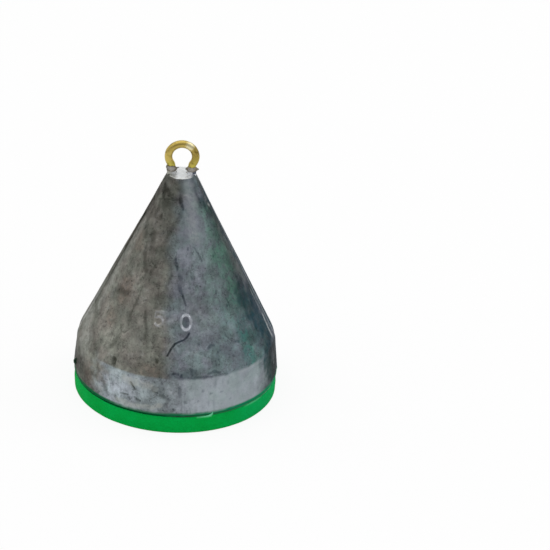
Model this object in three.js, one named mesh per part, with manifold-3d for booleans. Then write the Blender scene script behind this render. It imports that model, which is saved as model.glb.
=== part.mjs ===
// Depth plummet for pole and float fishing, standing on its base: a cast lead cone with a brass wire
// eye cast into its tip, and a pad of green foam glued under it that holds the point of the hook.
// Millimetres, +Z up. The origin is the centre of the pad's underside, and the eye lies in the XZ plane,
// which is also the plane in which the two halves of the casting mould met.
import * as THREE from "three";
import Module from "manifold-3d";
import { mergeVertices } from "three/addons/utils/BufferGeometryUtils.js";

const wasm = await Module();
wasm.setup();

// Lead casting
const baseDiameter = 22.4;
const skirtHeight = 4.4; // from the base to the corner where the cone starts
const skirtDraft = 0.38; // how far the skirt draws in on each side, so that it leaves the mould
const shoulderRound = 2.0;
const baseEdgeRound = 0.4;
const coneHeight = 19.7;
const tipDiameter = 3.0;
const partingRidgeHeight = 0.1; // the thin fin left where the mould halves met
const partingRidgeWidth = 0.34;

// Brass wire eye
const wireDiameter = 0.86;
const eyeHoleDiameter = 2.1;
const throatPinch = 0.38; // how much nearer the axis each leg stands than the side of the ring
const throatRadius = 0.9; // the bend that turns each side of the ring down into a leg
const legGrip = 0.6; // how much deeper each foot goes than the lead over its end asks for
const footBendRadius = 1.0;
const footLength = 0.9; // the turned-out end that keeps the eye from pulling out
const footCover = 0.45; // lead outside the end of each foot
const castGap = 0.06; // between the wire and the lead around it

// Lead drawn up round each leg where it leaves the tip
const collarWall = 0.1; // of its lip
const collarRise = 0.73;
const collarFlare = 0.13; // how much wider its root is than its lip
const collarBury = 0.3; // how far its root runs on inside the cone

// Foam pad and the glue over it
const padInset = 0.15; // how far the pad stops short of the edge of the lead
const padThickness = 2.1;
const padBottomRound = 0.38;
const padTopRound = 0.15;
const padSideBulge = 0.06;
const glueThickness = 0.14;
const glueInset = 0.1; // how far the glue stops short of the flat of the lead's base

// Fineness of the round surfaces
const roundSides = 96;
const wireSides = 12;
const wireSteps = 96;
const arcSteps = 4;
const filletShare = 0.45; // of the shorter side at a corner, which a fillet may use up

// Levels and radii that follow from the sizes above
const leadBottom = padThickness + glueThickness;
const shoulderLevel = leadBottom + skirtHeight;
const tipLevel = shoulderLevel + coneHeight;
const baseRadius = baseDiameter / 2;
const shoulderRadius = baseRadius - skirtDraft;
const tipRadius = tipDiameter / 2;
const coneSlope = (shoulderRadius - tipRadius) / coneHeight;

const wireRadius = wireDiameter / 2;
const seatRadius = wireRadius + castGap;
const ringRadius = eyeHoleDiameter / 2 + wireRadius; // to the centre of the wire
const legReach = ringRadius - throatPinch;
const lipRadius = seatRadius + collarWall;
const collarTop = tipLevel + collarRise;

// How far below the tip the cone has grown to a radius.
function depthWhereConeReaches(radius) {
  return Math.max(0, radius - tipRadius) / coneSlope;
}

// Points of the rounded corner at b on the way from a to c, with a and c left out.
function roundedCorner(a, b, c, radius) {
  const toA = a.clone().sub(b);
  const toC = c.clone().sub(b);
  const room = filletShare * Math.min(toA.length(), toC.length());
  toA.normalize();
  toC.normalize();
  const halfAngle = Math.acos(THREE.MathUtils.clamp(toA.dot(toC), -1, 1)) / 2;
  const cut = Math.min(radius / Math.tan(halfAngle), room);
  const start = b.clone().addScaledVector(toA, cut);
  const centre = toA.clone().add(toC).normalize().multiplyScalar(cut / Math.cos(halfAngle)).add(b);
  const sweep = Math.PI - 2 * halfAngle;
  const turn = Math.sign(toA.cross(toC)) || 1;
  const points = [];
  for (let i = 0; i <= arcSteps; i++) {
    points.push(start.clone().rotateAround(centre, (-turn * sweep * i) / arcSteps));
  }
  return points;
}

// The half outline of a turned body, from the axis at the bottom to the axis at the top.
// Each corner is { at: [radius, level], round: fillet radius }.
function turnedOutline(corners) {
  const at = corners.map((corner) => new THREE.Vector2(...corner.at));
  const first = new THREE.Vector2(0, at[0].y);
  const last = new THREE.Vector2(0, at.at(-1).y);
  const points = [first];
  corners.forEach((corner, i) => {
    const before = at[i - 1] ?? first;
    const after = at[i + 1] ?? last;
    if (corner.round) points.push(...roundedCorner(before, at[i], after, corner.round));
    else points.push(at[i]);
  });
  points.push(last);
  return points;
}

// Turned shapes are drawn round +Y, so this stands them up round +Z.
function turnedUpright(outline, sides) {
  return new THREE.LatheGeometry(outline, sides).rotateX(Math.PI / 2);
}

// Joins and cuts work on merged meshes that hold positions only.
function toSolid(geometry) {
  const bare = geometry.clone();
  bare.deleteAttribute("normal");
  bare.deleteAttribute("uv");
  const merged = mergeVertices(bare, 1e-4);
  return new wasm.Manifold(
    new wasm.Mesh({
      numProp: 3,
      vertProperties: new Float32Array(merged.attributes.position.array),
      triVerts: new Uint32Array(merged.index.array),
    }),
  );
}

function toGeometry(solid) {
  const mesh = solid.getMesh();
  const geometry = new THREE.BufferGeometry();
  geometry.setAttribute("position", new THREE.BufferAttribute(mesh.vertProperties, 3));
  geometry.setIndex(new THREE.BufferAttribute(mesh.triVerts, 1));
  geometry.computeVertexNormals();
  return geometry;
}

// The eye is one wire in the XZ plane: foot, leg, throat bend, ring, throat bend, leg, foot. Its throat
// starts at the lips of the collars, and its feet lie where the cone is wide enough to cover them.
function eyeWirePath(extraLength) {
  const bends = ringRadius + throatRadius;
  const throatAngle = Math.asin((legReach + throatRadius) / bends);
  const ringLevel = collarTop + bends * Math.cos(throatAngle);
  const throatCentre = legReach + throatRadius;

  const footCentre = legReach + footBendRadius;
  const footEnd = footCentre + footLength;
  const footTopDepth = depthWhereConeReaches(footEnd + footCover) + legGrip;
  const footLevel = tipLevel - footTopDepth - seatRadius;
  const legEnd = footLevel + footBendRadius;
  const wireEnd = footEnd + extraLength;
  const down = -Math.PI / 2;

  const path = new THREE.Path();
  path.moveTo(-wireEnd, footLevel);
  path.lineTo(-footCentre, footLevel);
  path.absarc(-footCentre, legEnd, footBendRadius, down, 0, false);
  path.lineTo(-legReach, collarTop);
  path.absarc(-throatCentre, collarTop, throatRadius, 0, Math.PI / 2 - throatAngle, false);
  path.absarc(0, ringLevel, ringRadius, down - throatAngle, down + throatAngle, true);
  path.absarc(throatCentre, collarTop, throatRadius, Math.PI / 2 + throatAngle, Math.PI, false);
  path.lineTo(legReach, legEnd);
  path.absarc(footCentre, legEnd, footBendRadius, Math.PI, Math.PI - down, false);
  path.lineTo(wireEnd, footLevel);

  const points = path.getSpacedPoints(wireSteps).map((p) => new THREE.Vector3(p.x, 0, p.y));
  return new THREE.CatmullRomCurve3(points, false, "centripetal");
}

function wireAlongEye(radius, extraLength) {
  const section = new THREE.Shape().absarc(0, 0, radius, 0, 2 * Math.PI, false);
  return new THREE.ExtrudeGeometry(section, {
    steps: wireSteps,
    curveSegments: wireSides / 2,
    bevelEnabled: false,
    extrudePath: eyeWirePath(extraLength),
  });
}

function castingOutline(grow) {
  return turnedOutline([
    { at: [baseRadius + grow, leadBottom], round: baseEdgeRound },
    { at: [shoulderRadius + grow, shoulderLevel], round: shoulderRound },
    { at: [tipRadius + grow, tipLevel] },
  ]);
}

// The fin along the parting plane: a thin slice of the casting's own outline, a little larger.
function partingRidge() {
  const half = castingOutline(partingRidgeHeight);
  const otherHalf = half.slice(1, -1).reverse().map((p) => new THREE.Vector2(-p.x, p.y));
  const outline = new THREE.Shape([...half, ...otherHalf]);
  const slice = new THREE.ExtrudeGeometry(outline, { depth: partingRidgeWidth, bevelEnabled: false });
  slice.rotateX(Math.PI / 2);
  slice.translate(0, partingRidgeWidth / 2, 0);
  return slice;
}

// The lead that crept up round one leg: a root inside the cone, then a hollow sweep up to a thin lip.
function collar(side) {
  const rootRadius = lipRadius + collarFlare;
  const rootLevel = tipLevel - depthWhereConeReaches(legReach + rootRadius) - collarBury;
  const startAngle = -Math.PI / 2;
  const endAngle = -Math.PI;
  const sweep = new THREE.EllipseCurve(
    rootRadius,
    collarTop,
    collarFlare,
    collarRise,
    startAngle,
    endAngle,
    true,
  );
  const outline = [
    new THREE.Vector2(0, rootLevel),
    new THREE.Vector2(rootRadius, rootLevel),
    ...sweep.getPoints(arcSteps),
    new THREE.Vector2(0, collarTop),
  ];
  return turnedUpright(outline, 2 * wireSides).translate(side * legReach, 0, 0);
}

function makeLeadBody() {
  const casting = toSolid(turnedUpright(castingOutline(0), roundSides))
    .add(toSolid(partingRidge()))
    .add(toSolid(collar(-1)))
    .add(toSolid(collar(1)));
  return toGeometry(casting.subtract(toSolid(wireAlongEye(seatRadius, castGap))));
}

function makeWireEye() {
  return wireAlongEye(wireRadius, 0);
}

function makeGlueLine() {
  const radius = baseRadius - baseEdgeRound - glueInset;
  const outline = turnedOutline([{ at: [radius, padThickness] }, { at: [radius, leadBottom] }]);
  return turnedUpright(outline, roundSides);
}

function makeFoamPad() {
  const radius = baseRadius - padInset;
  const outline = turnedOutline([
    { at: [radius - padSideBulge, 0], round: padBottomRound },
    { at: [radius, padThickness / 2] },
    { at: [radius - padSideBulge, padThickness], round: padTopRound },
  ]);
  return turnedUpright(outline, roundSides);
}

const leadMaterial = new THREE.MeshStandardMaterial({ color: 0x7d7e7c, roughness: 0.5, metalness: 0.75 });
const brassMaterial = new THREE.MeshStandardMaterial({ color: 0xc9a437, roughness: 0.22, metalness: 1 });
const glueMaterial = new THREE.MeshStandardMaterial({ color: 0x14552e, roughness: 0.35, metalness: 0 });
const foamMaterial = new THREE.MeshStandardMaterial({ color: 0x059546, roughness: 0.8, metalness: 0 });

const pieces = [
  ["foam_pad", makeFoamPad, foamMaterial],
  ["glue_line", makeGlueLine, glueMaterial],
  ["lead_body", makeLeadBody, leadMaterial],
  ["wire_eye", makeWireEye, brassMaterial],
];

const plummet = new THREE.Group();
for (const [name, make, material] of pieces) {
  const mesh = new THREE.Mesh(make(), material);
  mesh.name = name;
  plummet.add(mesh);
}

export default plummet;
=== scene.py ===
import math
import random

import bmesh
import bpy
import numpy as np
from mathutils import Matrix, Vector, noise


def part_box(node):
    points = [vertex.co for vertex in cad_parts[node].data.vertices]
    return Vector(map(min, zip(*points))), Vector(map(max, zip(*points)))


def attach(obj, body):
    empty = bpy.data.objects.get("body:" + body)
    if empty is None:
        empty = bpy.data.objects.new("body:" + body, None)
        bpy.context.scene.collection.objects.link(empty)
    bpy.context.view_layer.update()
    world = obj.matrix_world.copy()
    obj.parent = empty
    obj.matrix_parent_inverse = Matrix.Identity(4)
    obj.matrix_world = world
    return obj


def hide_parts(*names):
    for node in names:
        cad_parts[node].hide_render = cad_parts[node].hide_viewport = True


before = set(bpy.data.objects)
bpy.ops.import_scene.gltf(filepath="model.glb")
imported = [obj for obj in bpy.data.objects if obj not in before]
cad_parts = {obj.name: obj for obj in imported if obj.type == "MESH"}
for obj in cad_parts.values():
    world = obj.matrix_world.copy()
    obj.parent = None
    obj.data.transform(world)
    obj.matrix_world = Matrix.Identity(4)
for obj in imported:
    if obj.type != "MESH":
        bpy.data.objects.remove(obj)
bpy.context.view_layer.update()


# Wire eye: one length of drawn brass wire, bent round a pin to a ring, with both ends turned out to feet.
# It is set in the mould before the lead is poured, so only the ring and the two legs show. A round section
# is carried along each straight and round each bend here, as the wire itself was bent.
mm = 0.001
wire_low, wire_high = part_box("wire_eye")
wire_radius = (wire_high.y - wire_low.y) / 2
hole_radius = 1.05 * mm
ring_radius = hole_radius + wire_radius  # to the centre of the wire
throat_pinch = 0.38 * mm  # how much nearer the axis each leg stands than the side of the ring
leg_reach = ring_radius - throat_pinch
throat_radius = 0.9 * mm
foot_bend = 1.0 * mm
foot_level = wire_low.z + wire_radius
foot_end = wire_high.x
ring_level = wire_high.z - wire_radius - ring_radius
throat_turn = math.asin((leg_reach + throat_radius) / (ring_radius + throat_radius))
throat_level = ring_level - (ring_radius + throat_radius) * math.cos(throat_turn)
wire_sides = 32
foot_steps = 2
bend_steps = 12
leg_steps = 40
throat_steps = 16
ring_steps = 120
draw_wobble = 0.012 * mm  # how far the drawn surface strays from round
wobble_size = 0.7 * mm
wobble_sink = 0.4  # so that it strays inwards more than outwards


class Shade:
    """One output of a material's nodes. Sums on it add Math nodes, and node() adds any other kind."""

    def __init__(self, socket):
        self.socket = socket

    def node(self, kind, settings, inputs, output=0):
        tree = self.socket.id_data
        made = tree.nodes.new(kind)
        for name, value in settings.items():
            setattr(made, name, value)
        for name, value in inputs.items():
            if isinstance(value, Shade):
                tree.links.new(value.socket, made.inputs[name])
            else:
                made.inputs[name].default_value = value
        return Shade(made.outputs[output])

    def maths(self, operation, *values):
        """A Math node on these values. This one takes part only where it is among them."""
        return self.node("ShaderNodeMath", {"operation": operation}, dict(enumerate(values)))

    def vector(self, operation, inputs, output=0):
        """A Vector Math node whose first value is this one."""
        return self.node("ShaderNodeVectorMath", {"operation": operation}, {0: self, **inputs}, output)

    def __add__(self, other):
        return self.maths("ADD", self, other)

    def __sub__(self, other):
        return self.maths("SUBTRACT", self, other)

    def __rsub__(self, other):
        return self.maths("SUBTRACT", other, self)

    def __mul__(self, other):
        return self.maths("MULTIPLY", self, other)

    def __truediv__(self, other):
        return self.maths("DIVIDE", self, other)

    def __abs__(self):
        return self.maths("ABSOLUTE", self)

    __radd__ = __add__
    __rmul__ = __mul__

    def clear_of(self, low, high, start=0.0, end=1.0):
        """Goes smoothly from start, at low, to end, at high, and stays there. High may be below low."""
        inputs = {"Value": self, "From Min": low, "From Max": high, "To Min": start, "To Max": end}
        if low > high:
            inputs.update({"From Min": high, "From Max": low, "To Min": end, "To Max": start})
        return self.node("ShaderNodeMapRange", {"interpolation_type": "SMOOTHSTEP"}, inputs)

    def between(self, under, over):
        """The colour under where this is 0, and the colour over where it is 1."""
        return self.node("ShaderNodeMix", {"data_type": "RGBA"}, {0: self, 6: under, 7: over}, 2)

    def scaled(self, amount):
        """This colour or place, made brighter or longer by an amount that may vary."""
        return self.vector("SCALE", {"Scale": amount})

    def times(self, red, green, blue):
        """This colour or place with each part multiplied by its own number."""
        return self.vector("MULTIPLY", {1: (red, green, blue)})

    def part(self, index):
        return self.node("ShaderNodeSeparateXYZ", {}, {"Vector": self}, index)

    def cloud(self, size, detail=3.0, roughness=0.55, distortion=0.0):
        """Soft noise from 0 to 1, with lumps of about that size in metres."""
        inputs = {
            "Vector": self,
            "Scale": 1 / size,
            "Detail": detail,
            "Roughness": roughness,
            "Distortion": distortion,
        }
        return self.node("ShaderNodeTexNoise", {}, inputs)

    def recorded(self, name):
        """The amount that the piece's mesh records under this name at each place."""
        return self.node("ShaderNodeAttribute", {"attribute_name": name}, {}, "Fac")

    def bumped(self, strength, distance):
        """A surface that stands out where this is high."""
        inputs = {"Strength": strength, "Distance": distance, "Height": self}
        return self.node("ShaderNodeBump", {}, inputs)


def colour(red, green, blue):
    """A colour read off a screen, from 0 to 255, as the light that a surface gives back."""
    parts = [c / 255 for c in (red, green, blue)]
    return (*(c / 12.92 if c < 0.04045 else ((c + 0.055) / 1.055) ** 2.4 for c in parts), 1.0)


def new_material(name, **plain):
    """A material with these plain values. Gives it with its coordinates and a way to fill what varies."""
    material = bpy.data.materials.new(name)
    material.use_nodes = True
    tree = material.node_tree
    shader = tree.nodes["Principled BSDF"]
    for socket, value in plain.items():
        shader.inputs[socket.replace("_", " ")].default_value = value
    place = Shade(tree.nodes.new("ShaderNodeTexCoord").outputs["Object"])

    def fill(**parts):
        for socket, value in parts.items():
            tree.links.new(value.socket, shader.inputs[socket.replace("_", " ")])

    return material, place, fill


def settle(bm):
    """Merges what lies on itself, and turns every face outwards."""
    bmesh.ops.remove_doubles(bm, verts=bm.verts, dist=0.0005 * mm)
    bmesh.ops.recalc_face_normals(bm, faces=bm.faces)


def finished(name, bm, material, slot, *nodes):
    """Makes the piece, smooth, in place and with its material, rides it on the root, hides what it
    replaces.
    """
    mesh = bpy.data.meshes.new(name)
    for face in bm.faces:
        face.smooth = True
    bm.to_mesh(mesh)
    bm.free()
    piece = bpy.data.objects.new(name, mesh)
    bpy.context.scene.collection.objects.link(piece)
    mesh.materials.append(material)
    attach(piece, "root")
    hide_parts(*nodes)
    return piece


def carried(bm, rim, steps, centre=(0.0, 0.0), turn=0.0, shift=(0.0, 0.0)):
    """Carries the wire's open end round a centre in the XZ plane, or straight along a shift."""
    step = (shift[0] / steps, 0.0, shift[1] / steps)
    axis, place = (0.0, 1.0, 0.0), (centre[0], 0.0, centre[1])
    moved = bmesh.ops.spin(bm, geom=rim, cent=place, axis=axis, angle=turn, dvec=step, steps=steps)
    return moved["geom_last"]


def bent_wire():
    """Foot, leg, throat, ring, throat, leg and foot, one after the other."""
    bm = bmesh.new()
    start = Matrix.Translation((-foot_end, 0.0, foot_level)) @ Matrix.Rotation(math.pi / 2, 4, "Y")
    bmesh.ops.create_circle(bm, segments=wire_sides, radius=wire_radius, matrix=start)
    rim = bm.verts[:] + bm.edges[:]
    quarter = -math.pi / 2
    foot_centre = leg_reach + foot_bend
    leg_end = foot_level + foot_bend
    leg_length = throat_level - leg_end
    throat_centre = leg_reach + throat_radius
    throat_bend = throat_turn - math.pi / 2
    rim = carried(bm, rim, foot_steps, shift=(foot_end - foot_centre, 0.0))
    rim = carried(bm, rim, bend_steps, (-foot_centre, leg_end), quarter)
    rim = carried(bm, rim, leg_steps, shift=(0.0, leg_length))
    rim = carried(bm, rim, throat_steps, (-throat_centre, throat_level), throat_bend)
    rim = carried(bm, rim, ring_steps, (0.0, ring_level), 2 * (math.pi - throat_turn))
    rim = carried(bm, rim, throat_steps, (throat_centre, throat_level), throat_bend)
    rim = carried(bm, rim, leg_steps, shift=(0.0, -leg_length))
    rim = carried(bm, rim, bend_steps, (foot_centre, leg_end), quarter)
    carried(bm, rim, foot_steps, shift=(foot_end - foot_centre, 0.0))
    bmesh.ops.holes_fill(bm, edges=bm.edges, sides=wire_sides)
    settle(bm)
    bm.normal_update()
    for vert in bm.verts:
        stray = noise.noise(vert.co / wobble_size) - wobble_sink
        vert.co += vert.normal * draw_wobble * stray
    return bm


def brass():
    """Brass browned in patches and down the legs, with painted dark reflections and one painted highlight.
    """
    material, place, fill = new_material("Drawn brass", Metallic=1.0)
    x, z = place.part(0), place.part(2) - ring_level
    # Darker on the right and the upper left as a painted dark reflection, with a painted highlight near the
    # top right.
    right = x.clear_of(0.0, 1.4 * mm) * z.clear_of(-1.0 * mm, 0.0)
    upper_left = z.clear_of(0.0, 1.1 * mm) * x.clear_of(0.5 * mm, -0.5 * mm)
    legs = z.clear_of(-1.25 * mm, -1.75 * mm)
    across, above = x / mm - 0.85, z / mm - 1.42
    highlight_and_rubbing = (across * across + above * above).clear_of(0.42, 0.0)
    patches = place.cloud(0.9 * mm, 4.0, 0.65)
    tarnish = patches.clear_of(0.48, 0.68)
    tarnish_and_dark_reflection = 0.3 + tarnish * 0.3 + right * 0.25 + upper_left * 0.15 + legs * 0.45
    tarnish_and_dark_reflection = (tarnish_and_dark_reflection * (1 - highlight_and_rubbing * 0.8)).clear_of(0.0, 1.0)
    yellow = place.cloud(1.5 * mm, 2.0).clear_of(0.42, 0.6) * z.clear_of(0.6 * mm, -0.6 * mm)
    gold = yellow.between(colour(218, 194, 108), colour(208, 196, 92))
    gold = highlight_and_rubbing.between(gold, colour(238, 228, 184))
    brass_tone = tarnish_and_dark_reflection.between(gold, colour(108, 88, 32))
    grain = place.cloud(0.1 * mm, 3.0)
    bump = (grain + patches * 1.5).bumped(0.4, 0.025 * mm)
    fill(Base_Color=brass_tone, Roughness=0.36 + tarnish * 0.08 + grain * 0.08, Normal=bump)
    return material


finished("brass_eye", bent_wire(), brass(), "brass_wire", "wire_eye")


# Lead casting: a cone on a short skirt, poured in a mould of two halves that met in the XZ plane, where a
# thin fin stayed. The lead took up the mould's figures and flow marks, chilled to small pits and cracks,
# and greyed since; its warm tint on one side and blue tint on the other are painted reflections. Its tip
# was cut flat and is the one bright face.
lead_low, lead_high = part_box("lead_body")
base_radius = 11.2 * mm
skirt_draft = 0.38 * mm  # how far the skirt draws in, so that it leaves the mould
skirt_height = 4.4 * mm
cone_height = 19.7 * mm
shoulder_radius = base_radius - skirt_draft
tip_radius = 1.5 * mm
bottom_level = lead_low.z
shoulder_level = bottom_level + skirt_height
tip_level = shoulder_level + cone_height
spin_steps = 440
gathering = 0.6  # how much nearer the upright lines stand at the front, the back and the two fins


def on_cone(azimuth, level):
    """A point of the casting's side. Azimuth is in degrees to the right of the front, and level in mm."""
    height = level * mm
    if height > shoulder_level:
        share = (height - shoulder_level) / (tip_level - shoulder_level)
        radius = shoulder_radius + (tip_radius - shoulder_radius) * share
    else:
        share = (height - bottom_level) / (shoulder_level - bottom_level)
        radius = base_radius + (shoulder_radius - base_radius) * share
    angle = math.radians(azimuth)
    return Vector((radius * math.sin(angle), -radius * math.cos(angle), height))


def on_figure(azimuth, level, stroke):
    """Lays a flat stroke, in mm to the right and up, on the cone round a point of it."""
    middle = on_cone(azimuth, level)
    up = (on_cone(azimuth, level + 0.1) - middle).normalized()
    right = (on_cone(azimuth + 0.1, level) - middle).normalized()
    return [middle + (right * u + up * v) * mm for u, v in stroke]


def arc(wide, tall, first, last, points):
    """Points of an oval's arc round the figure's middle, between two angles in degrees."""
    angles = [math.radians(first + (last - first) * i / (points - 1)) for i in range(points)]
    return [(wide * math.cos(angle), tall * math.sin(angle)) for angle in angles]


# The mould's two figures: where each stands, and how brightly each of its strokes is rubbed.
figure_width = 0.32 * mm
figure_rise = 0.09 * mm
five_at, nought_at = (-13.8, 12.2), (6.95, 12.24)
five = [
    (0.38, arc(0.46, 0.5, 122, 10, 8)),
    (0.12, arc(0.46, 0.5, 10, -80, 5)),
    (0.40, arc(0.46, 0.5, -80, -142, 5)),
    (0.2, [(0.42, 1.02), (-0.42, 0.98), (-0.46, 0.4)]),
]
nought = [
    (0.8, arc(0.54, 0.8, 40, 130, 8)),
    (0.42, arc(0.54, 0.8, 130, 215, 8)),
    (1.0, arc(0.54, 0.8, 215, 325, 10)),
    (0.45, arc(0.54, 0.8, 325, 400, 7)),
]
figures = [(brightness, on_figure(*five_at, stroke)) for brightness, stroke in five]
figures += [(brightness, on_figure(*nought_at, stroke)) for brightness, stroke in nought]

# Cracks and pits that have a depth: half width and depth in mm, and the azimuths and levels of their path.
cracks = [
    (
        0.145,
        0.11,
        [(9.2, 11.15), (7.6, 10.8), (5.4, 10.5), (2.2, 10.35), (-0.8, 10.1), (-3.2, 9.6), (-5.4, 8.9)],
    ),
    (0.15, 0.07, [(4.2, 15.0), (5.6, 14.5), (7.2, 13.9)]),
    (0.07, 0.02, [(21.4, 19.35), (22.6, 19.05), (24.4, 18.95), (26.7, 18.3)]),
    (0.08, 0.04, [(45.5, 13.8), (47.0, 12.8)]),
    (0.09, 0.05, [(36.0, 10.45), (38.8, 9.85)]),
    (0.13, 0.08, [(-26.2, 5.55), (-23.2, 4.85)]),
    (0.13, 0.05, [(-32.0, 3.95), (-27.7, 4.0)]),
    (0.09, 0.05, [(-23.4, 3.95), (-21.4, 3.7), (-19.4, 3.65)]),
    (0.09, 0.05, [(-26.5, 3.75), (-26.0, 3.5)]),
    (0.10, 0.05, [(-12.8, 5.05), (-9.8, 4.85)]),
    (0.08, 0.04, [(-43.8, 10.8), (-41.6, 10.3), (-38.5, 10.2), (-36.2, 10.6)]),
    (0.07, 0.03, [(-34.7, 15.1), (-35.6, 13.8), (-37.6, 12.5), (-37.4, 11.2)]),
    (0.13, 0.05, [(-60.0, 23.75), (-46.0, 24.0), (-32.0, 24.15), (-8.0, 24.25)]),
]
pits = [
    (0.26, 0.06, [(21.6, 9.5), (23.6, 9.75), (26.2, 9.7)]),
    (0.30, 0.04, [(28.6, 9.0), (27.0, 8.7), (27.8, 8.3)]),
    (0.20, 0.06, [(42.4, 9.5), (45.8, 9.3)]),
    (0.36, 0.10, [(-40.0, 7.35), (-39.2, 6.9)]),
    (0.28, 0.08, [(-11.9, 8.45), (-11.7, 8.2)]),
    (0.34, 0.09, [(-1.6, 7.1), (1.6, 7.15)]),
    (0.24, 0.08, [(3.8, 7.1), (3.7, 6.9)]),
    (0.30, 0.07, [(9.9, 7.5), (9.9, 7.1)]),
    (0.26, 0.06, [(20.6, 7.0), (23.6, 7.15), (26.8, 6.95)]),
    (0.18, 0.04, [(6.8, 16.35), (6.8, 16.25)]),
    (0.16, 0.04, [(10.9, 15.65), (10.9, 15.55)]),
    (0.16, 0.04, [(37.0, 14.8), (37.0, 14.65)]),
    (0.15, 0.05, [(-38.2, 4.7), (-37.8, 4.55)]),
    (0.14, 0.05, [(-11.9, 6.15), (-11.8, 6.05)]),
]
# How dark the painted shade in cracks and pits is:
crack_darkness = 13  # for each mm of depth, up to 1
pit_darkness = 11
small_pits = 190
small_pit_depth = 0.22  # as a share of its half width
pit_seed = 50

# Stains and painted light without a depth: half width in mm, strength, and the azimuths and levels of
# their path.
# Dark stains hold grime, and painted shadow in the line beside the left fin and the faint strip beyond it.
dark_stains_and_shadows = [
    (0.34, 0.75, [(-62, 25.3), (-52, 24.8), (-48, 24.2)]),
    (0.30, 0.8, [(-44, 25.0), (-32, 24.6)]),
    (0.80, 0.55, [(-40, 23.7), (-26, 23.7)]),
    (0.34, 0.45, [(-54, 23.8), (-49, 23.0), (-50, 22.1)]),
    (0.45, 0.5, [(-3, 26.2), (1, 25.6), (0, 24.9)]),
    (0.26, 1.0, [(-1, 24.5), (3, 23.9), (6, 23.4)]),
    (0.38, 0.5, [(4, 23.2), (0, 22.6), (-5, 22.2)]),
    (0.28, 0.35, [(-6, 22.2), (-11, 21.6), (-15, 21.0), (-19, 20.2), (-23, 19.2)]),
    (0.34, 0.35, [(-62, 22.8), (-64, 21.6), (-66, 20.4)]),
    (0.26, 0.5, [(-38, 22.4), (-37, 22.1)]),
    (0.48, 0.5, [(-41.5, 20.5), (-40.5, 19.9)]),
    (0.38, 0.4, [(-56, 20.3), (-54, 19.8)]),
    (0.45, 0.38, [(-38, 18.9), (-30, 19.1), (-24, 19.3), (-16, 19.4)]),
    (0.16, 0.8, [(11.5, 19.55), (11.5, 19.35)]),
    (0.13, 0.5, [(20.6, 19.5), (22.6, 19.05), (24.4, 18.95), (27.2, 18.1)]),
    (0.45, 0.35, [(66, 23.9), (55, 23.3)]),
    (0.40, 0.45, [(46, 26.0), (44, 25.1), (46, 24.0)]),
    (0.55, 0.5, [(-60, 13.6), (-49, 14.0)]),
    (0.20, 0.45, [(-34.7, 15.1), (-35.6, 13.8), (-37.6, 12.5), (-37.4, 11.2)]),
    (0.26, 0.8, [(-3.6, 18.4), (-1.2, 17.4)]),
    (0.34, 0.6, [(0.6, 17.0), (2.6, 16.6)]),
    (0.34, 0.75, [(1.0, 15.8), (3.2, 15.1)]),
    (0.20, 0.5, [(-9.5, 15.9), (-7, 16.9), (-9, 17.8)]),
    (0.38, 0.6, [(-45, 18.4), (-40, 17.4), (-36, 16.8)]),
    (0.24, 0.5, [(-27, 17.4), (-30, 16.6)]),
    (0.24, 0.6, [(-84, 23.4), (-86, 21.5)]),
    (0.34, 0.95, [(-86, 21.5), (-87, 19.0), (-86, 17.0)]),
    (0.28, 0.75, [(-86, 17.0), (-86, 14.0)]),
    (0.20, 0.55, [(-86, 14.0), (-86, 12.0), (-87, 10.4)]),
    (1.6, 0.1, [(-103, 24), (-103, 16), (-103, 9)]),
    (0.26, 0.75, [(-26.0, 12.9), (-24, 11.8), (-22.4, 11.2), (-21.8, 10.3)]),
    (0.40, 0.35, [(-70, 8.9), (-62, 8.0), (-55, 7.2)]),
    (0.28, 0.45, [(-42, 9.6), (-45, 8.4)]),
    (2.6, 0.2, [(37, 9.4), (42, 8.2), (44, 7.2)]),
    (0.50, 0.5, [(-2, 7.0), (4, 6.95), (11, 7.2)]),
    (0.20, 0.6, [(4, 6.85), (14, 6.72), (22, 6.66)]),
    (0.16, 0.25, [(26, 6.66), (40, 6.6), (50, 6.62)]),
    (0.30, 0.45, [(-46, 4.8), (-44, 3.9), (-41, 3.2)]),
    (0.22, 0.4, [(-36, 3.4), (-34, 2.9)]),
    (0.24, 0.5, [(-8, 4.6), (-3, 4.1), (-5, 3.5)]),
    (0.16, 0.5, [(6.0, 3.95), (6.2, 3.85)]),
    (0.18, 0.5, [(-0.5, 3.0), (-0.2, 2.85)]),
    (0.22, 0.4, [(2.6, 5.6), (3.2, 4.6)]),
]
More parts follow.
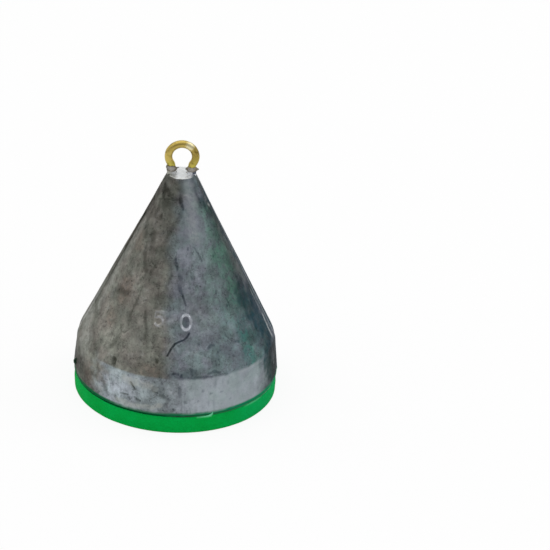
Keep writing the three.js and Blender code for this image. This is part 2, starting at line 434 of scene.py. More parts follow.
# Painted dark reflections: the blue-black patches along the right edge, and painted shadow on the strip
# beyond the right fin.
dark_reflections_and_shadow = [
    (1.3, 0.9, [(71, 14.2), (66, 13.0), (70, 11.6)]),
    (1.7, 1.0, [(81, 12.6), (79, 11.4), (77, 10.2), (81, 9.0)]),
    (1.6, 1.0, [(69, 10.8), (71, 9.8), (75, 8.8)]),
    (1.5, 0.45, [(64, 9.2), (69, 7.8)]),
    (0.7, 0.5, [(59, 6.3), (66, 6.0)]),
    (1.4, 1.0, [(81, 8.0), (76, 7.2), (71, 6.5), (68.5, 5.9), (71, 4.7), (75, 3.4)]),
    (0.9, 0.7, [(82, 6.8), (83, 5.0), (83, 3.2)]),
    (1.9, 1.0, [(100, 24), (100, 16), (99, 9), (99, 3)]),
]
# Pale stains and painted highlights: the light lines beside both fins, the light strip down the left side
# and the light streak near the tip are painted highlights.
pale_stains_and_highlights = [
    (0.22, 0.8, [(76, 23.0), (80, 22.8)]),
    (0.9, 0.35, [(22, 25.6), (26, 24.4), (20, 22.6), (22, 20.6)]),
    (2.0, 0.16, [(14, 13.4), (23, 12.0)]),
    (2.0, 0.12, [(-22, 11.6), (-29, 10.4)]),
    (0.9, 0.3, [(-74, 20.5), (-76, 17.5), (-78, 15.5)]),
    (0.8, 0.5, [(-78, 15.5), (-77, 13.5), (-76, 11.0)]),
    (1.6, 0.6, [(-84, 8.8), (-76, 7.9), (-72, 7.2)]),
    (1.3, 0.3, [(-70, 6.4), (-66, 5.6)]),
    (0.14, 0.4, [(40, 6.42), (50, 6.44), (60, 6.3)]),
    (0.6, 0.5, [(-30, 5.8), (-20, 5.6), (-12, 5.4)]),
    (0.35, 0.5, [(-35, 3.1), (-25, 2.9), (-12, 3.1), (-8, 3.4)]),
    (0.10, 0.5, [(84.5, 12.8), (84.5, 9.6)]),
    (0.30, 0.95, [(85.5, 9.5), (84.5, 8.6), (84, 7.2)]),
    (0.10, 0.45, [(79, 6.2), (79, 4.2)]),
]
# The level and azimuth of the line down the front where the painted warm reflection tint turns to a blue
# one.
warm_border = [(8, -4), (10, -4.5), (12.4, -9), (15, -7), (17.4, -4), (20.2, -14), (22.3, -4), (25, 1)]
# Painted green reflections on the right of the cone.
green_reflections = [
    (0.9, 0.7, [(58, 22.6), (61, 20.6), (57, 18.6)]),
    (1.3, 0.85, [(57, 18.4), (55, 17.0), (57, 15.6), (56, 13.6)]),
    (1.9, 0.5, [(48, 15.0), (50, 12.6), (54, 11.4)]),
    (1.0, 0.6, [(58, 12.6), (60, 11.4), (57, 10.4)]),
    (0.8, 0.95, [(52, 10.6), (53, 9.2), (52, 7.9), (53, 7.1)]),
    (1.6, 0.5, [(62, 9.4), (65, 8.0), (63, 6.8)]),
    (2.6, 0.22, [(37, 9.4), (42, 8.2), (44, 7.2)]),
]
rust_stains = [
    (0.9, 0.5, [(-53, 14.6), (-52, 13.6)]),
    (0.8, 0.4, [(-57, 11.2), (-55, 10.8)]),
    (1.1, 0.35, [(-62, 4.6), (-57, 3.8), (-54, 3.4)]),
    (0.7, 0.4, [(-20, 7.2), (-12, 7.3)]),
    (0.8, 0.4, [(-66, 19.6), (-60, 18.6)]),
]


def away_from(places, path):
    """How far each place lies from a path of points."""
    nearest = np.full(len(places), np.inf)
    for start, end in zip(path, path[1:]):
        first, run = np.array(start), np.array(end - start)
        along = np.clip((places - first) @ run / (run @ run), 0.0, 1.0)
        nearest = np.minimum(nearest, np.linalg.norm(places - first - along[:, None] * run, axis=1))
    return nearest


def hump(distance, half_width):
    """1 on the line and 0 past its half width, and round between."""
    return np.clip(1 - (distance / half_width) ** 2, 0.0, 1.0)


def ramp(values, low, high):
    """0 below low and 1 above high, and smooth between."""
    share = np.clip((values - low) / (high - low), 0.0, 1.0)
    return share * share * (3 - 2 * share)


def waves(places, size, shift):
    """Smooth noise at each place, from about -1 to 1, with lumps of about that size in metres."""
    offset = Vector((shift, 0.0, 0.0))
    return np.array([noise.noise(Vector(place) / size + offset) for place in places])


def turned(outline, steps):
    """A turned body from its half outline, a list of radii and levels that starts and ends on the axis."""
    bm = bmesh.new()
    verts = [bm.verts.new((0.0, -radius, level)) for radius, level in outline]
    for start, end in zip(verts, verts[1:]):
        bm.edges.new((start, end))
    whole = {"cent": (0.0, 0.0, 0.0), "axis": (0.0, 0.0, 1.0), "angle": 2 * math.pi, "steps": steps}
    bmesh.ops.spin(bm, geom=bm.verts[:] + bm.edges[:], use_merge=True, **whole)
    settle(bm)
    return bm


def round_off(bm, radius, level, offset, segments):
    """Rounds the ring of edges that has this radius and level."""
    near = 0.001 * mm
    level_verts = [vert for vert in bm.verts if abs(vert.co.z - level) < near]
    ends = {vert for vert in level_verts if abs(vert.co.xy.length - radius) < near}
    ring = [edge for edge in bm.edges if edge.verts[0] in ends and edge.verts[1] in ends]
    settings = {"offset": offset, "segments": segments, "profile": 0.5, "affect": "EDGES", "material": -1}
    bmesh.ops.bevel(bm, geom=ring, **settings)


def cut_rows(bm, low, high, cuts):
    """Cuts the long upright edges between two levels into rows."""
    shortest = 0.4 * mm
    chosen = []
    for edge in bm.edges:
        start, end = (vert.co.z for vert in edge.verts)
        if abs(start - end) > shortest and low < (start + end) / 2 < high:
            chosen.append(edge)
    bmesh.ops.subdivide_edges(bm, edges=chosen, cuts=cuts, use_grid_fill=True)


def turned_casting():
    """The plain turned body, with its corners rounded and its sides cut into rows."""
    outline = [
        (0.0, bottom_level),
        (base_radius, bottom_level),
        (shoulder_radius, shoulder_level),
        (tip_radius, tip_level),
        (0.0, tip_level),
    ]
    bm = turned(outline, spin_steps)
    round_off(bm, base_radius, bottom_level, offset=0.1 * mm, segments=3)
    round_off(bm, shoulder_radius, shoulder_level, offset=0.34 * mm, segments=5)
    round_off(bm, tip_radius, tip_level, offset=0.03 * mm, segments=2)
    cut_rows(bm, bottom_level, shoulder_level - 1 * mm, cuts=21)
    cut_rows(bm, shoulder_level + 1 * mm, tip_level, cuts=116)
    spokes = [edge for edge in bm.edges if min(vert.co.z for vert in edge.verts) > tip_level - 0.001 * mm]
    spokes = [edge for edge in spokes if edge.calc_length() > tip_radius / 2]
    bmesh.ops.subdivide_edges(bm, edges=spokes, cuts=5, use_grid_fill=True)
    for vert in bm.verts:
        angle = math.atan2(vert.co.x, -vert.co.y)
        gathered = angle - gathering / 4 * math.sin(4 * angle)
        radius = vert.co.xy.length
        vert.co.x, vert.co.y = radius * math.sin(gathered), -radius * math.cos(gathered)
    return bm


def laid(marks):
    """Marks with their paths laid on the casting's side."""
    return [(half * mm, amount, [on_cone(*point) for point in path]) for half, amount, path in marks]


def sharpen_detail(bm):
    """Cuts the faces near the figures, cracks and pits finer, so that these have a shape."""
    beside_figures, beside_marks = 0.16 * mm, 0.14 * mm
    bm.faces.index_update()
    middles = np.array([face.calc_center_median()[:] for face in bm.faces])
    near = np.zeros(len(middles), bool)
    for _, path in figures:
        near |= away_from(middles, path) < figure_width / 2 + beside_figures
    for half, _, path in laid(cracks + pits):
        near |= away_from(middles, path) < half + beside_marks
    chosen = [edge for edge in bm.edges if any(near[face.index] for face in edge.link_faces)]
    bmesh.ops.subdivide_edges(bm, edges=chosen, cuts=1, use_grid_fill=True)


class CastSkin:
    """The casting's surface: where each vertex lies, how far it moves outwards, its ageing and painted
    light.
    """

    def __init__(self, bm):
        bm.normal_update()
        self.places = np.array([vert.co[:] for vert in bm.verts])
        self.outwards = np.array([vert.normal[:] for vert in bm.verts])
        self.radii = np.hypot(self.places[:, 0], self.places[:, 1])
        self.level = self.places[:, 2] / mm
        self.turn = np.arctan2(self.places[:, 0], -self.places[:, 1])
        self.azimuth = np.degrees(self.turn)
        self.side = (self.level > bottom_level / mm + 0.1) & (self.level < tip_level / mm - 0.02)
        self.lumps = waves(self.places, 6 * mm, 1.7)
        self.ripples = waves(self.places, 1.6 * mm, 4.1)
        self.grains = waves(self.places, 0.6 * mm, 8.3)
        self.move = np.zeros(len(self.places))
        self.aging_and_painted_light = {}

    def lay_colour(self, name, strength):
        """Lays a mark, stain and painted light alike, on the side of the casting where it isn't as strong
        yet.
        """
        self.aging_and_painted_light[name] = np.maximum(self.aging_and_painted_light.get(name, 0.0), strength * self.side)


def pour_marks(skin):
    """The lumps and the threads of the flow, and the fin, with a painted highlight except high on the left.
    """
    skin.move += (skin.lumps * 0.03 + skin.ripples * 0.014 + skin.grains * 0.007) * mm
    crowding = 22  # how close together the threads lie round the casting
    thread_length = 9  # in mm
    flow = [np.sin(skin.turn) * crowding, np.cos(skin.turn) * crowding, skin.level / thread_length]
    threads = hump(np.abs(waves(np.stack(flow, 1), 1.0, 3.0)), 0.07)
    skin.move -= threads * 0.012 * mm * skin.side
    skin.lay_colour("grime_and_shade", threads * 0.25 * ramp(skin.ripples, -0.2, 0.3))

    along_fin = skin.places * (0.0, 0.0, 1.0)
    wander = waves(along_fin, 3 * mm, 0.0)
    fin = hump(np.abs(skin.places[:, 1]), 0.17 * mm) * skin.side * (skin.radii > 1.0 * mm)
    skin.move += fin * (0.08 + 0.04 * wander) * mm
    # The light line along the fin is a painted highlight.
    upper_left = (skin.places[:, 0] < 0) * ramp(skin.level, 10, 13)
    skin.lay_colour("highlight_and_rubbing", fin * (0.26 + 0.3 * wander) * (1 - upper_left))


def mould_figures(skin):
    """The raised figures, rubbed on top, and a darker patch inside the nought."""
    for brightness, path in figures:
        stroke = hump(away_from(skin.places, path), figure_width / 2)
        skin.move += np.sqrt(stroke) * figure_rise
        skin.lay_colour("highlight_and_rubbing", stroke * brightness)
    inside = on_figure(*nought_at, [(0.0, -0.3), (0.0, 0.3)])
    inside_nought = hump(away_from(skin.places, inside), 0.55 * mm)
    skin.lay_colour("grime_and_shade", inside_nought * 0.72 * (skin.aging_and_painted_light["highlight_and_rubbing"] < 0.2))


def cracks_and_pits(skin):
    """The cracks and pits of the lists, with painted shade darker where they are deeper, and small pits at
    random.
    """
    for half, depth, path in laid(cracks):
        cut = hump(away_from(skin.places, path) + skin.grains * half * 0.3, half)
        skin.move -= cut * depth * mm
        skin.lay_colour("grime_and_shade", np.sqrt(cut) * min(1.0, depth * crack_darkness))
    for half, depth, path in laid(pits):
        uneven = (skin.grains * 0.5 + skin.ripples * 0.3) * half
        dent = hump(away_from(skin.places, path) + uneven, half)
        skin.move -= dent * depth * mm
        skin.lay_colour("grime_and_shade", dent * min(1.0, depth * pit_darkness))
    draw = random.Random(pit_seed)
    for _ in range(small_pits):
        spot = np.array(on_cone(draw.uniform(-180, 180), draw.uniform(2.8, 25.0)))
        half_width = draw.uniform(0.1, 0.24) * mm
        dent = hump(np.linalg.norm(skin.places - spot, axis=1), half_width)
        skin.move -= dent * half_width * small_pit_depth
        skin.lay_colour("grime_and_shade", dent * draw.uniform(0.2, 0.7))


def listed_marks(skin):
    """The stains and painted light of the lists, each kind with its own softness at the edge."""
    ragged = skin.ripples * 0.25 + skin.grains * 0.45
    for name, softness, marks in (
        ("grime_and_shade", 0.9, dark_stains_and_shadows),
        ("pale_and_highlight", 0.9, pale_stains_and_highlights),
        ("green", 1.9, green_reflections),
        ("reflection_and_shadow", 1.1, dark_reflections_and_shadow),
        ("rust", 1.4, rust_stains),
    ):
        for half, strength, path in laid(marks):
            nearness = -away_from(skin.places, path) / half - ragged
            skin.lay_colour(name, ramp(nearness, -0.3 - softness, -0.3) * strength)


def tones(skin):
    """The grey's tones with painted reflection tints and shade, and the glue and painted seam shade at its
    foot.
    """
    azimuth, level = skin.azimuth, skin.level
    ripples, grains = skin.ripples, skin.grains

    # Warm grey turns to blue past the line down the front, and turns back at the rear: a painted reflection
    # tint. High up, from the right edge round to the back, it is only half as blue.
    border = np.interp(level, *zip(*warm_border))
    past_border = np.radians(azimuth - border) * skin.radii / mm + ripples * 0.5 + grains * 0.3
    blue = ramp(past_border, -1.1, 1.0) * ramp(-azimuth, -176, -150)
    blue *= 1 - 0.5 * ramp(azimuth, 64, 78) * ramp(level, 11, 16)
    skin.aging_and_painted_light["blue"] = blue

    # The skirt is painted paler than the cone as a painted reflection of the floor, except on the left, and
    # has hardly any of the painted green reflection.
    skirt = ramp(shoulder_level / mm - 0.05 + ripples * 0.1 + grains * 0.06 - level, -0.12, 0.12)
    pale_start = -azimuth + ripples * 7 + grains * 6
    cone = 1 - skirt * (1 - ramp(pale_start, 42, 58) * ramp(azimuth, -150, -110))
    skin.aging_and_painted_light["cone"] = cone
    skin.aging_and_painted_light["green"] *= 1 - 0.85 * skirt

    # The warm side darkens towards the tip, and the skirt in three places; the blue side's darkening
    # towards the right and the skirt's dark right end are painted shade.
    warm_dull = (0.05 + 0.38 * ramp(level, 9, 26)) * (1 - blue)
    towards_right = ramp(azimuth, 18, 72) * ramp(-azimuth, -130, -95)
    blue_dull = (0.08 + (0.22 + 0.14 * ramp(level, 11, 14)) * towards_right) * blue
    left_skirt = 0.32 * cone * ramp(-level, -6.6, -3.6)
    front_skirt = 0.3 * hump(azimuth + 6 + ripples * 5, 17)
    right_skirt = 0.72 * ramp(azimuth + ripples * 8, 54, 76) * ramp(-azimuth, -120, -95)
    skirt_dull = np.maximum.reduce([left_skirt, front_skirt, right_skirt])
    skin.aging_and_painted_light["shade_and_dimming"] = skirt_dull * skirt + (warm_dull + blue_dull) * (1 - skirt)

    # The skirt and the top of the cone are more even in tone to the right of the front.
    calm_skirt = hump(azimuth - 34, 32) * skirt
    calm_tip = hump(azimuth - 22, 24) * ramp(level, 18, 21) * 0.7
    skin.aging_and_painted_light["calm"] = np.sqrt(np.maximum(calm_skirt, calm_tip))

    # The glue crept up further at the sides than at the front and the back, and its green band is partly
    # painted shade of the seam.
    crept_left = ramp(-azimuth, 20, 60) * ramp(azimuth, -170, -120)
    crept_right = ramp(azimuth, 20, 50) * ramp(-azimuth, -170, -120)
    smear_top = 0.28 + 0.16 * crept_left + 0.12 * crept_right + (grains + ripples) * 0.05
    skin.aging_and_painted_light["glue_and_seam_shade"] = ramp(bottom_level / mm + smear_top - level, -0.1, 0.1)


def cast_surface(bm):
    """Moves the surface in and out as the pour left it, and records each place's ageing and painted light.
    """
    skin = CastSkin(bm)
    for mark in (pour_marks, mould_figures, cracks_and_pits, listed_marks, tones):
        mark(skin)
    placed = skin.places + skin.outwards * skin.move[:, None]
    layers = [(bm.verts.layers.float.new(name), amounts) for name, amounts in skin.aging_and_painted_light.items()]
    for index, (vert, place) in enumerate(zip(bm.verts, placed)):
        vert.co = place
        for layer, amounts in layers:
            vert[layer] = amounts[index]


def lead():
    """Greyed lead: soft noise of several sizes, then the stains, tones and painted light that the mesh
    records.
    """
    plain = {"Specular_IOR_Level": 0.02, "Specular_Tint": (0.3, 0.3, 0.32, 1.0)}
    material, place, fill = new_material("Greyed cast lead", **plain)
    x, y, z = (place.part(index) / mm for index in range(3))
    grime_and_shade, pale_and_highlight, highlight_and_rubbing = (place.recorded(name) for name in ("grime_and_shade", "pale_and_highlight", "highlight_and_rubbing"))
    green, reflection_and_shadow, rust = (place.recorded(name) for name in ("green", "reflection_and_shadow", "rust"))
    blue, cone, shade_and_dimming = (place.recorded(name) for name in ("blue", "cone", "shade_and_dimming"))
    calm, glue_and_seam_shade = (place.recorded(name) for name in ("calm", "glue_and_seam_shade"))

    # Coordinates on a drum round the casting, on which a pattern is drawn out towards the tip.
    round_drum = place.times(1.0, 1.0, 0.0).vector("NORMALIZE", {}).scaled(8 * mm)
    drum = round_drum.vector("ADD", {1: place.times(0.0, 0.0, 0.35)})

    # Soft noise from large to small, then thin veins, dark specks and the pale bloom of oxide.
    patches = place.cloud(2.8 * mm, 5.0, 0.6)
    blotches = place.cloud(1.1 * mm, 4.0, 0.6, 0.3)
    mottle = place.cloud(0.5 * mm, 3.0, 0.65, 0.4)
    grain = place.cloud(0.18 * mm, 2.0, 0.7)
    flow = drum.cloud(1.1 * mm, 3.0, 0.6, 0.3)
    veins = abs(place.cloud(1.0 * mm, 2.0, 0.6, 1.2) - 0.5).clear_of(0.022, 0.004)
    veins = veins * blotches.clear_of(0.55, 0.4)
    specks = place.cloud(0.26 * mm, 1.0).clear_of(0.6, 0.7)
    oxide = place.cloud(1.3 * mm, 5.0, 0.75, 0.5).clear_of(0.52, 0.7)
    hue = place.cloud(1.9 * mm, 3.0, 0.6).clear_of(0.38, 0.62)

    # The bare tone, and how much lighter or darker the noise makes it.
    # Warm and cool are painted reflection tints on the two sides.
    warm = hue.between(colour(134, 136, 127), colour(137, 134, 127))
    warm = (rust * mottle.clear_of(0.35, 0.6, 0.4, 1.0)).between(warm, colour(134, 116, 105))
    cool = hue.between(colour(138, 152, 155), colour(145, 150, 160))
    # The paler skirt is a painted reflection of the floor.
    skirt_floor_reflection = hue.between(colour(157, 168, 171), colour(163, 170, 177))
    tone = cone.between(skirt_floor_reflection, blue.between(warm, cool))
    tone = (oxide * 0.25).between(tone, colour(172, 176, 176))
    shade = patches.clear_of(0.34, 0.68, 0.8, 1.18) * blotches.clear_of(0.32, 0.68, 0.84, 1.14)
    shade = shade * mottle.clear_of(0.32, 0.68, 0.84, 1.14) * grain.clear_of(0.3, 0.7, 0.93, 1.07)
    shade = shade * flow.clear_of(0.34, 0.66, 0.93, 1.06) * (1 - veins * 0.4) * (1 - specks * 0.3)
    # The recorded darkening is partly painted shade, on the right side and the skirt's right end.
    shade = (1 + (shade - 1) * (1 - calm * 0.72)) * (1 - shade_and_dimming)
    tone = tone.scaled(shade)

    # The stains, painted reflections, painted shade and painted highlights lie over it, each broken up a
    # little by the noise.
    # The painted green reflections.
    green_reflection_tone = z.clear_of(15, 11).between(tone.times(0.46, 0.86, 0.6), tone.times(0.38, 0.87, 0.71))
    green_reflection_amount = green * mottle.clear_of(0.3, 0.6, 0.6, 1.0) * blotches.clear_of(0.35, 0.55, 0.6, 1.0)
    tone = green_reflection_amount.between(tone, green_reflection_tone)
    # Painted blue-black reflections and painted shadow on the right.
    dark_reflection_tone = z.clear_of(5.4, 7.4).between(tone.times(0.07, 0.17, 0.16), tone.times(0.08, 0.19, 0.24))
    dark_reflection_amount = reflection_and_shadow * blotches.clear_of(0.35, 0.6, 0.8, 1.0) * mottle.clear_of(0.3, 0.6, 0.85, 1.0)
    tone = dark_reflection_amount.between(tone, dark_reflection_tone)
    # Grime, with painted shade in the cracks and pits and beside the left fin.
    darkened_tone = blue.between(tone.times(0.19, 0.2, 0.17), tone.times(0.16, 0.19, 0.23))
    tone = (grime_and_shade * mottle.clear_of(0.3, 0.6, 0.6, 1.0)).between(tone, darkened_tone)
    # Pale oxide, and painted highlights beside the fins, down the left side and near the tip.
    pale_and_highlight_tone = blue.between(colour(176, 178, 171), colour(180, 185, 186))
    tone = (pale_and_highlight * mottle.clear_of(0.34, 0.6, 0.35, 1.0)).between(tone, pale_and_highlight_tone)
    # The green band at the foot is glue and painted shade of the seam.
    seam_green = x.clear_of(-4, 8).between(colour(8, 96, 56), colour(12, 126, 84))
    tone = glue_and_seam_shade.between(tone, seam_green)
    # Painted highlights along the fins, and the rubbed tops of the figures.
    tone = highlight_and_rubbing.between(tone, colour(206, 210, 218))

    # The cut tip is bright, with a duller left end, painted shade behind each leg and a bluish right end.
    left_end = x.clear_of(-0.3, -1.2) * 0.6
    bright = left_end.between(colour(234, 237, 238), colour(158, 158, 146))
    bright = bright.scaled(mottle.clear_of(0.3, 0.7, 0.9, 1.06))
    across, along = x + 0.75, y - 1.3
    left_leg_shade = (across * across * 4 + along * along * 9).clear_of(1.1, 0.6)
    across, along = x - 0.8, y - 0.95
    right_leg_shade = (across * across * 5 + along * along * 4).clear_of(1.1, 0.6)
    leg_shades = (left_leg_shade + right_leg_shade).clear_of(0.0, 1.0, 0.0, 0.85)
    bright = leg_shades.between(bright, colour(74, 72, 76))
    bright = x.clear_of(0.95, 1.3, 0.0, 0.7).between(bright, colour(96, 106, 122))
    cut_face = z.clear_of(tip_level / mm - 0.02, tip_level / mm - 0.002)
    tone = (cut_face * abs(x).clear_of(1.36, 1.2)).between(tone, bright)

    relief = (mottle * 0.6 + grain * 0.4 - veins * 0.2) * (1 - calm * 0.6)
    rough = 0.5 + (mottle - 0.5) * 0.25 - cut_face * 0.12 - highlight_and_rubbing * 0.1 + grime_and_shade * 0.3
    metallic = (0.78 - oxide * 0.25 - cut_face * 0.2) * (1 - grime_and_shade * 0.55) * (1 - reflection_and_shadow) * (1 - glue_and_seam_shade)
    fill(Base_Color=tone, Roughness=rough, Metallic=metallic, Normal=relief.bumped(0.75, 0.06 * mm))
    return material


casting = turned_casting()
sharpen_detail(casting)
cast_surface(casting)
bmesh.ops.recalc_face_normals(casting, faces=casting.faces)
finished("lead_casting", casting, lead(), "lead", "lead_body")


# Leg collars: the molten lead crept up the cold brass and froze round each leg in a thin lumpy lip. It is
# the same pour as the casting, left as it set where the tip was trimmed between the legs, and has a darker
# skin. The left one ends in a small horn, and the right one in a spur to the side.
collar_top = lead_high.z
collar_rise = collar_top - tip_level
# Shares of the rise, and how thick the lead's wall is there in mm.
collar_walls = [(0.0, 0.08), (0.2, 0.05), (0.45, 0.08), (0.72, 0.16), (0.9, 0.14), (1.0, 0.05)]


def pull_out_of_round(bm, side):
    """Makes a collar lumpy, spreads its foot behind, raises its front and gives it the horn or the spur."""
    left = side < 0
    front_rise = 0.3 if left else 0.16
    for vert in bm.verts:
        radius = vert.co.xy.length
        if radius > 0.9 * wire_radius:
            share = max(0.0, (vert.co.z - tip_level) / collar_rise)
            outer, front = side * vert.co.x / radius, -vert.co.y / radius
            place = Vector((vert.co.x + side * leg_reach, vert.co.y, vert.co.z))
            lump = noise.noise(place / (0.36 * mm)) * 0.11 * share
            lump += noise.noise(place / (0.15 * mm)) * 0.03
            spread = max(0.0, -outer * 0.5 - front * 0.8) ** 2 * max(0.0, 1 - share / 0.4) * 0.2
            vert.co += vert.normal * (lump + spread) * mm
            vert.co.z += share * max(0.0, front) * front_rise * mm
            outermost = max(0.0, outer) ** 3
            if left:
                vert.co.z += outermost * share * 0.16 * mm
                vert.co.x -= outermost * share * 0.08 * mm
            else:
                vert.co.x += outermost * math.exp(-((share - 0.7) / 0.16) ** 2) * 0.2 * mm
        vert.co.x += side * leg_reach


def leg_collars():
    """Both collars, each with a thin neck under a thicker lip."""
    both = bmesh.new()
    neck = wire_radius + collar_walls[0][1] * mm
    root_level = tip_level - 0.5 * mm
    outline = [(0.0, root_level), (neck, root_level)]
    for share in np.linspace(0, 1, 16):
        wall = np.interp(share, *zip(*collar_walls)) * mm
        outline.append((wire_radius + wall, tip_level + collar_rise * share))
    outline.append((0.0, collar_top))
    for side in (-1, 1):
        bm = turned(outline, 48)
        bm.normal_update()
        pull_out_of_round(bm, side)
        part = bpy.data.meshes.new("collar")
        bm.to_mesh(part)
        bm.free()
        both.from_mesh(part)
        bpy.data.meshes.remove(part)
    bmesh.ops.recalc_face_normals(both, faces=both.faces)
    return both


def dark_skin():
    """The lead's dark skin, bare at the front of each lip, and trimmed bright where the tip was cut."""
    material, place, fill = new_material("Dark skin of the lead")
    x, y, z = (place.part(index) / mm for index in range(3))
    above_tip = z - tip_level / mm
    lumps = place.cloud(0.34 * mm, 3.0, 0.6)
    hue = place.cloud(0.7 * mm, 2.0).clear_of(0.4, 0.6)
    skin = hue.between(colour(118, 114, 106), colour(130, 119, 100))
    skin = skin.scaled(lumps.clear_of(0.3, 0.7, 0.5, 1.25))
    across, above = abs(x) - leg_reach / mm, above_tip - 0.74
    spread = across * across * 0.5 + above * above + (lumps - 0.5) * 0.45
    bare = spread.clear_of(0.12, 0.0, 0.0, 0.75) * y.clear_of(0.0, -0.2)
    skin = bare.between(skin, colour(184, 180, 174))
    trimmed = (above_tip + (lumps - 0.5) * 0.3).clear_of(0.42, 0.24) * y.clear_of(0.1, -0.15)
    cut = x.clear_of(-0.6, -1.4).between(colour(220, 222, 226), colour(160, 160, 150))
    blotch = x.clear_of(1.05, 1.3) * above_tip.clear_of(0.0, 0.1)
    cut = blotch.between(cut, colour(62, 74, 92))
    tone = trimmed.between(skin, cut)
    rough = 0.65 - lumps * 0.2
    metallic = (0.35 + lumps * 0.3) * (1 - trimmed * 0.8)
    fill(Base_Color=tone, Roughness=rough, Metallic=metallic, Normal=lumps.bumped(0.7, 0.05 * mm))
    return material


finished("lead_collars", leg_collars(), dark_skin(), "lead", "lead_body")


# Glue line: the thin film of contact glue between the casting and the foam. It was brushed on by hand, so
# its edge wanders in and out, and its dark green, which is partly painted shade of the seam, shows as a
# dark line over the foam. One bead of it squeezed out and dried at the foot of the left fin.
glue_low, glue_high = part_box("glue_line")
glue_radius = glue_high.x
bead_place = Vector((-10.93 * mm, -1.6 * mm, 3.45 * mm))
bead_radius = 0.31 * mm
bead_stretch = 1.35  # how much taller it is than wide


def glue_film():
    """A thin disc, squeezed out further on the right than on the left."""
    outline = [(0.0, glue_low.z), (glue_radius, glue_low.z), (glue_radius, glue_high.z), (0.0, glue_high.z)]
    bm = turned(outline, 240)
    for vert in bm.verts:
        if vert.co.xy.length > glue_radius / 2:
            out = vert.co.xy.normalized()
            squeezed = 0.08 + 0.34 * max(0.0, min(1.0, out.x * 1.6 + 0.9))
            wander = (squeezed + noise.noise(Vector((out.x * 5, out.y * 5, 0.0))) * 0.1) * mm
            vert.co.x += out.x * wander
            vert.co.y += out.y * wander
    return bm


def glue_bead():
    bm = bmesh.new()
    bmesh.ops.create_icosphere(bm, subdivisions=4, radius=bead_radius)
    for vert in bm.verts:
        vert.co *= 1 + 0.25 * noise.noise(vert.co / (0.2 * mm))
        vert.co.z *= bead_stretch
        vert.co += bead_place
    return bm


def glue(name, lightness):
    material, place, fill = new_material(name, Specular_IOR_Level=0.2)
    patches = place.cloud(0.8 * mm)
    # Its dark greens, lighter towards the right, are partly painted shade of the seam.
    tone = patches.clear_of(0.35, 0.7).between(colour(4, 66, 38), colour(12, 96, 56))
    tone = place.part(0).clear_of(0.0, 9 * mm).between(tone, colour(6, 122, 66)).scaled(lightness)
    fill(Base_Color=tone, Roughness=0.35 + patches * 0.3)
    return material


finished("glue_film", glue_film(), glue("Dried contact glue", 1.0), "glue", "glue_line")
finished("glue_bead", glue_bead(), glue("Thick contact glue", 0.3), "glue")


# Foam pad: a disc punched from a sheet of green closed-cell foam and pressed on to the glue. The hook's
# point is stuck into it. Its side bulges a little, its lower edge is rounded, and a shaving of its upper
# edge stands up where the punch tore it.
foam_low, foam_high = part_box("foam_pad")
foam_radius = foam_high.x + 0.1 * mm
shaving_start, shaving_end = 13.0, 22.5  # azimuths in degrees
# Where a painted highlight lies on the foam's rim, and how far it reaches, in degrees.
rim_highlight_middle, rim_highlight_reach = 52.0, 9.0


def punched_foam():
    """The disc, with small lumps on its side, the torn shaving, and a painted highlight on the rim further
    right.
    """
    middle = (foam_low.z + foam_high.z) / 2
    bulge = 0.06 * mm
    outline = [
        (0.0, foam_low.z),
        (foam_radius - bulge, foam_low.z),
        (foam_radius, middle),
        (foam_radius - bulge, foam_high.z),
        (0.0, foam_high.z),
    ]
    bm = turned(outline, 480)
    round_off(bm, foam_radius - bulge, foam_low.z, offset=0.24 * mm, segments=6)
    round_off(bm, foam_radius - bulge, foam_high.z, offset=0.12 * mm, segments=3)
    cut_rows(bm, foam_low.z, foam_high.z, cuts=4)
    bmesh.ops.recalc_face_normals(bm, faces=bm.faces)
    bm.normal_update()
    torn_and_highlight = bm.verts.layers.float.new("torn_and_highlight")
    for vert in bm.verts:
        on_side = foam_low.z + 0.02 * mm < vert.co.z < foam_high.z - 0.02 * mm
        azimuth = math.degrees(math.atan2(vert.co.x, -vert.co.y))
        along = (azimuth - shaving_start) / (shaving_end - shaving_start)
        if on_side:
            lumps = noise.noise(vert.co / (0.9 * mm)) * 0.012 + noise.noise(vert.co / (3.5 * mm)) * 0.03
            vert.co += vert.normal * (lumps - 0.02) * mm
        on_rim = vert.co.z > foam_high.z - 0.16 * mm and vert.co.xy.length > foam_radius - 0.3 * mm
        if on_rim:
            vert[torn_and_highlight] = 0.35 * max(0.0, 1 - ((azimuth - rim_highlight_middle) / rim_highlight_reach) ** 2)
            if 0 < along < 1 and vert.co.xy.length > foam_radius - 0.15 * mm:
                vert[torn_and_highlight] = 0.3 + 0.7 * along
                vert.co.xy += vert.co.xy.normalized() * 0.13 * along * mm
                vert.co.z += (0.1 * along + 0.36 * max(0.0, along - 0.82) / 0.18) * mm
    return bm


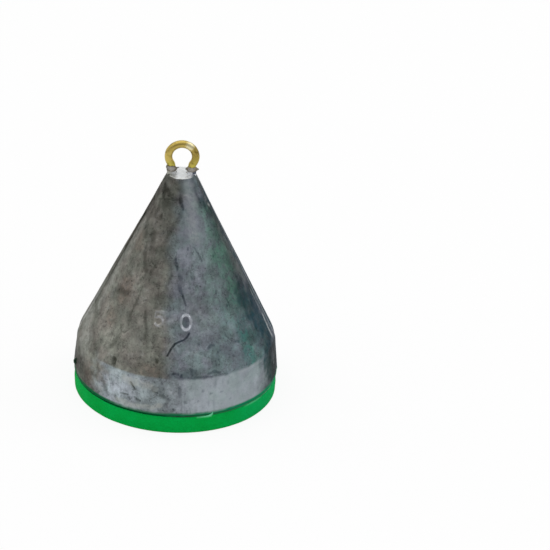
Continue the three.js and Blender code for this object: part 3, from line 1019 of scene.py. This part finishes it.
def foam():
    material, place, fill = new_material("Green closed-cell foam", Specular_IOR_Level=0.06)
    torn_and_highlight = place.recorded("torn_and_highlight")
    cells = place.node("ShaderNodeTexVoronoi", {}, {"Vector": place, "Scale": 1 / (0.14 * mm)}, "Distance")
    blotches = place.cloud(2.4 * mm)
    specks = place.cloud(0.22 * mm, 2.0)
    tone = blotches.clear_of(0.3, 0.7).between(colour(0, 164, 66), colour(0, 174, 76))
    tone = (place.part(0).clear_of(4 * mm, 10.5 * mm) * 0.6).between(tone, colour(0, 168, 98))
    tone = (specks.clear_of(0.62, 0.75) * 0.4).between(tone, colour(10, 186, 92))
    tone = (cells.clear_of(0.45, 0.75) * 0.35).between(tone, colour(0, 138, 54))
    # The darker green top rim is painted shade under the casting's edge.
    ragged_top = place.part(2) + (specks - 0.5) * 0.16 * mm
    shaded_rim = ragged_top.clear_of(foam_high.z - 0.1 * mm, foam_high.z - 0.03 * mm)
    rim = place.part(0).clear_of(-4 * mm, 8 * mm).between(colour(0, 104, 54), colour(0, 140, 80))
    tone = shaded_rim.between(tone, rim)
    # Pale on the torn shaving, and a painted highlight on the rim further right.
    tone = torn_and_highlight.between(tone, colour(128, 228, 178))
    bump = (1 - cells * 0.5).bumped(0.25, 0.04 * mm)
    fill(Base_Color=tone, Roughness=0.78 + specks * 0.15, Normal=bump)
    return material


pad = finished("foam_disc", punched_foam(), foam(), "foam", "foam_pad")


# Studio: a plain white floor with one wide soft lamp over it, a small one high on the right, and even light
# all round. The camera sees only white with a soft shadow, and the metal mirrors white too, which is dimmer
# on the side from which the object is seen and on the right.
floor_reach = 1.5
floor_gap = 0.02 * mm  # between the floor and the foam's underside
floor_white = 0.97
floor_lift = 0.9  # how much of the floor's white doesn't depend on the light that falls there
ambient = 0.6
viewer_side = (0.0, -0.92, 0.4)
right_side = (0.8, 0.6, 0.0)


def any_ray(tree, *kinds):
    """1 for a ray of one of these kinds, and 0 for any other."""
    path = tree.nodes.new("ShaderNodeLightPath")
    found, *others = (Shade(path.outputs[kind]) for kind in kinds)
    for other in others:
        found = found.maths("MAXIMUM", found, other)
    return found


def pale_floor():
    bm = bmesh.new()
    bmesh.ops.create_grid(bm, x_segments=1, y_segments=1, size=floor_reach)
    mesh = bpy.data.meshes.new("floor")
    bm.to_mesh(mesh)
    bm.free()
    floor = bpy.data.objects.new("floor", mesh)
    floor.location.z = -floor_gap
    bpy.context.scene.collection.objects.link(floor)
    material = bpy.data.materials.new("Pale floor")
    material.use_nodes = True
    tree = material.node_tree
    tree.nodes.clear()
    bare = any_ray(tree, "Is Camera Ray", "Is Glossy Ray", "Is Transmission Ray")
    lit = bare.node("ShaderNodeBsdfDiffuse", {}, {"Color": (floor_white,) * 3 + (1.0,)})
    white = bare.node("ShaderNodeEmission", {}, {"Color": (1.0,) * 4, "Strength": 1.0})
    both = bare.node("ShaderNodeMixShader", {}, {0: bare * floor_lift, 1: lit, 2: white})
    output = tree.nodes.new("ShaderNodeOutputMaterial")
    tree.links.new(both.socket, output.inputs["Surface"])
    mesh.materials.append(material)


def even_light():
    world = bpy.data.worlds.new("Studio")
    bpy.context.scene.world = world
    world.use_nodes = True
    tree = world.node_tree
    tree.nodes.clear()
    plain = any_ray(tree, "Is Camera Ray", "Is Transmission Ray")
    shiny = any_ray(tree, "Is Glossy Ray")
    way = Shade(tree.nodes.new("ShaderNodeTexCoord").outputs["Generated"])
    front = way.vector("DOT_PRODUCT", {1: viewer_side}, 1)
    right = way.vector("DOT_PRODUCT", {1: right_side}, 1)
    mirrored = 1 - front.clear_of(-0.1, 0.9) * 0.62 - right.clear_of(0.5, 1.0) * 0.45
    lit = shiny * mirrored + (1 - shiny) * ambient
    strength = plain + (1 - plain) * lit
    background = way.node("ShaderNodeBackground", {}, {"Color": (1.0,) * 4, "Strength": strength})
    output = tree.nodes.new("ShaderNodeOutputWorld")
    tree.links.new(background.socket, output.inputs["Surface"])


def soft_lamp(name, place, aim, size, power):
    lamp = bpy.data.lights.new(name, "AREA")
    lamp.shape, lamp.size, lamp.energy = "DISK", size, power
    holder = bpy.data.objects.new(name, lamp)
    bpy.context.scene.collection.objects.link(holder)
    holder.location = place
    holder.rotation_mode = "QUATERNION"
    holder.rotation_quaternion = (Vector(place) - Vector(aim)).to_track_quat("Z", "Y")


pale_floor()
even_light()
soft_lamp("overhead", (-0.2, 0.0, 0.5), (0.0, 0.0, 0.01), size=0.8, power=1.2)
soft_lamp("high on the right", (0.28, 0.08, 0.34), (0.0, 0.0, 0.02), size=0.2, power=0.28)


# Camera: a long lens a good way off, which looks down on the front of the object and leans by a degree or
# two. The object stands left of the picture's middle, as in the photograph.
photo_side = 550
aim = Vector((0.0, 0.0, 10.08 * mm))
aim_column, aim_row = 177.4, 304.4  # where the photograph shows that point
looking_down = math.radians(28.23)
lean = math.radians(1.82)
distance = 672 * mm
focal_pixels = 6103.8


def photo_camera():
    data = bpy.data.cameras.new("camera")
    data.sensor_width = 36.0
    data.lens = focal_pixels / photo_side * data.sensor_width
    data.clip_start, data.clip_end = 0.01, 10.0
    camera = bpy.data.objects.new("camera", data)
    bpy.context.scene.collection.objects.link(camera)
    back = Vector((0.0, -math.cos(looking_down), math.sin(looking_down)))
    facing = back.to_track_quat("Z", "Y").to_matrix() @ Matrix.Rotation(lean, 3, "Z")
    middle = photo_side / 2
    seen = Vector((aim_column - middle, middle - aim_row, -focal_pixels)).normalized()
    panned = facing @ seen.rotation_difference(Vector((0.0, 0.0, -1.0))).to_matrix()
    camera.matrix_world = Matrix.Translation(aim + back * distance) @ panned.to_4x4()
    bpy.context.scene.camera = camera


photo_camera()
bpy.context.scene.view_settings.view_transform = "Standard"
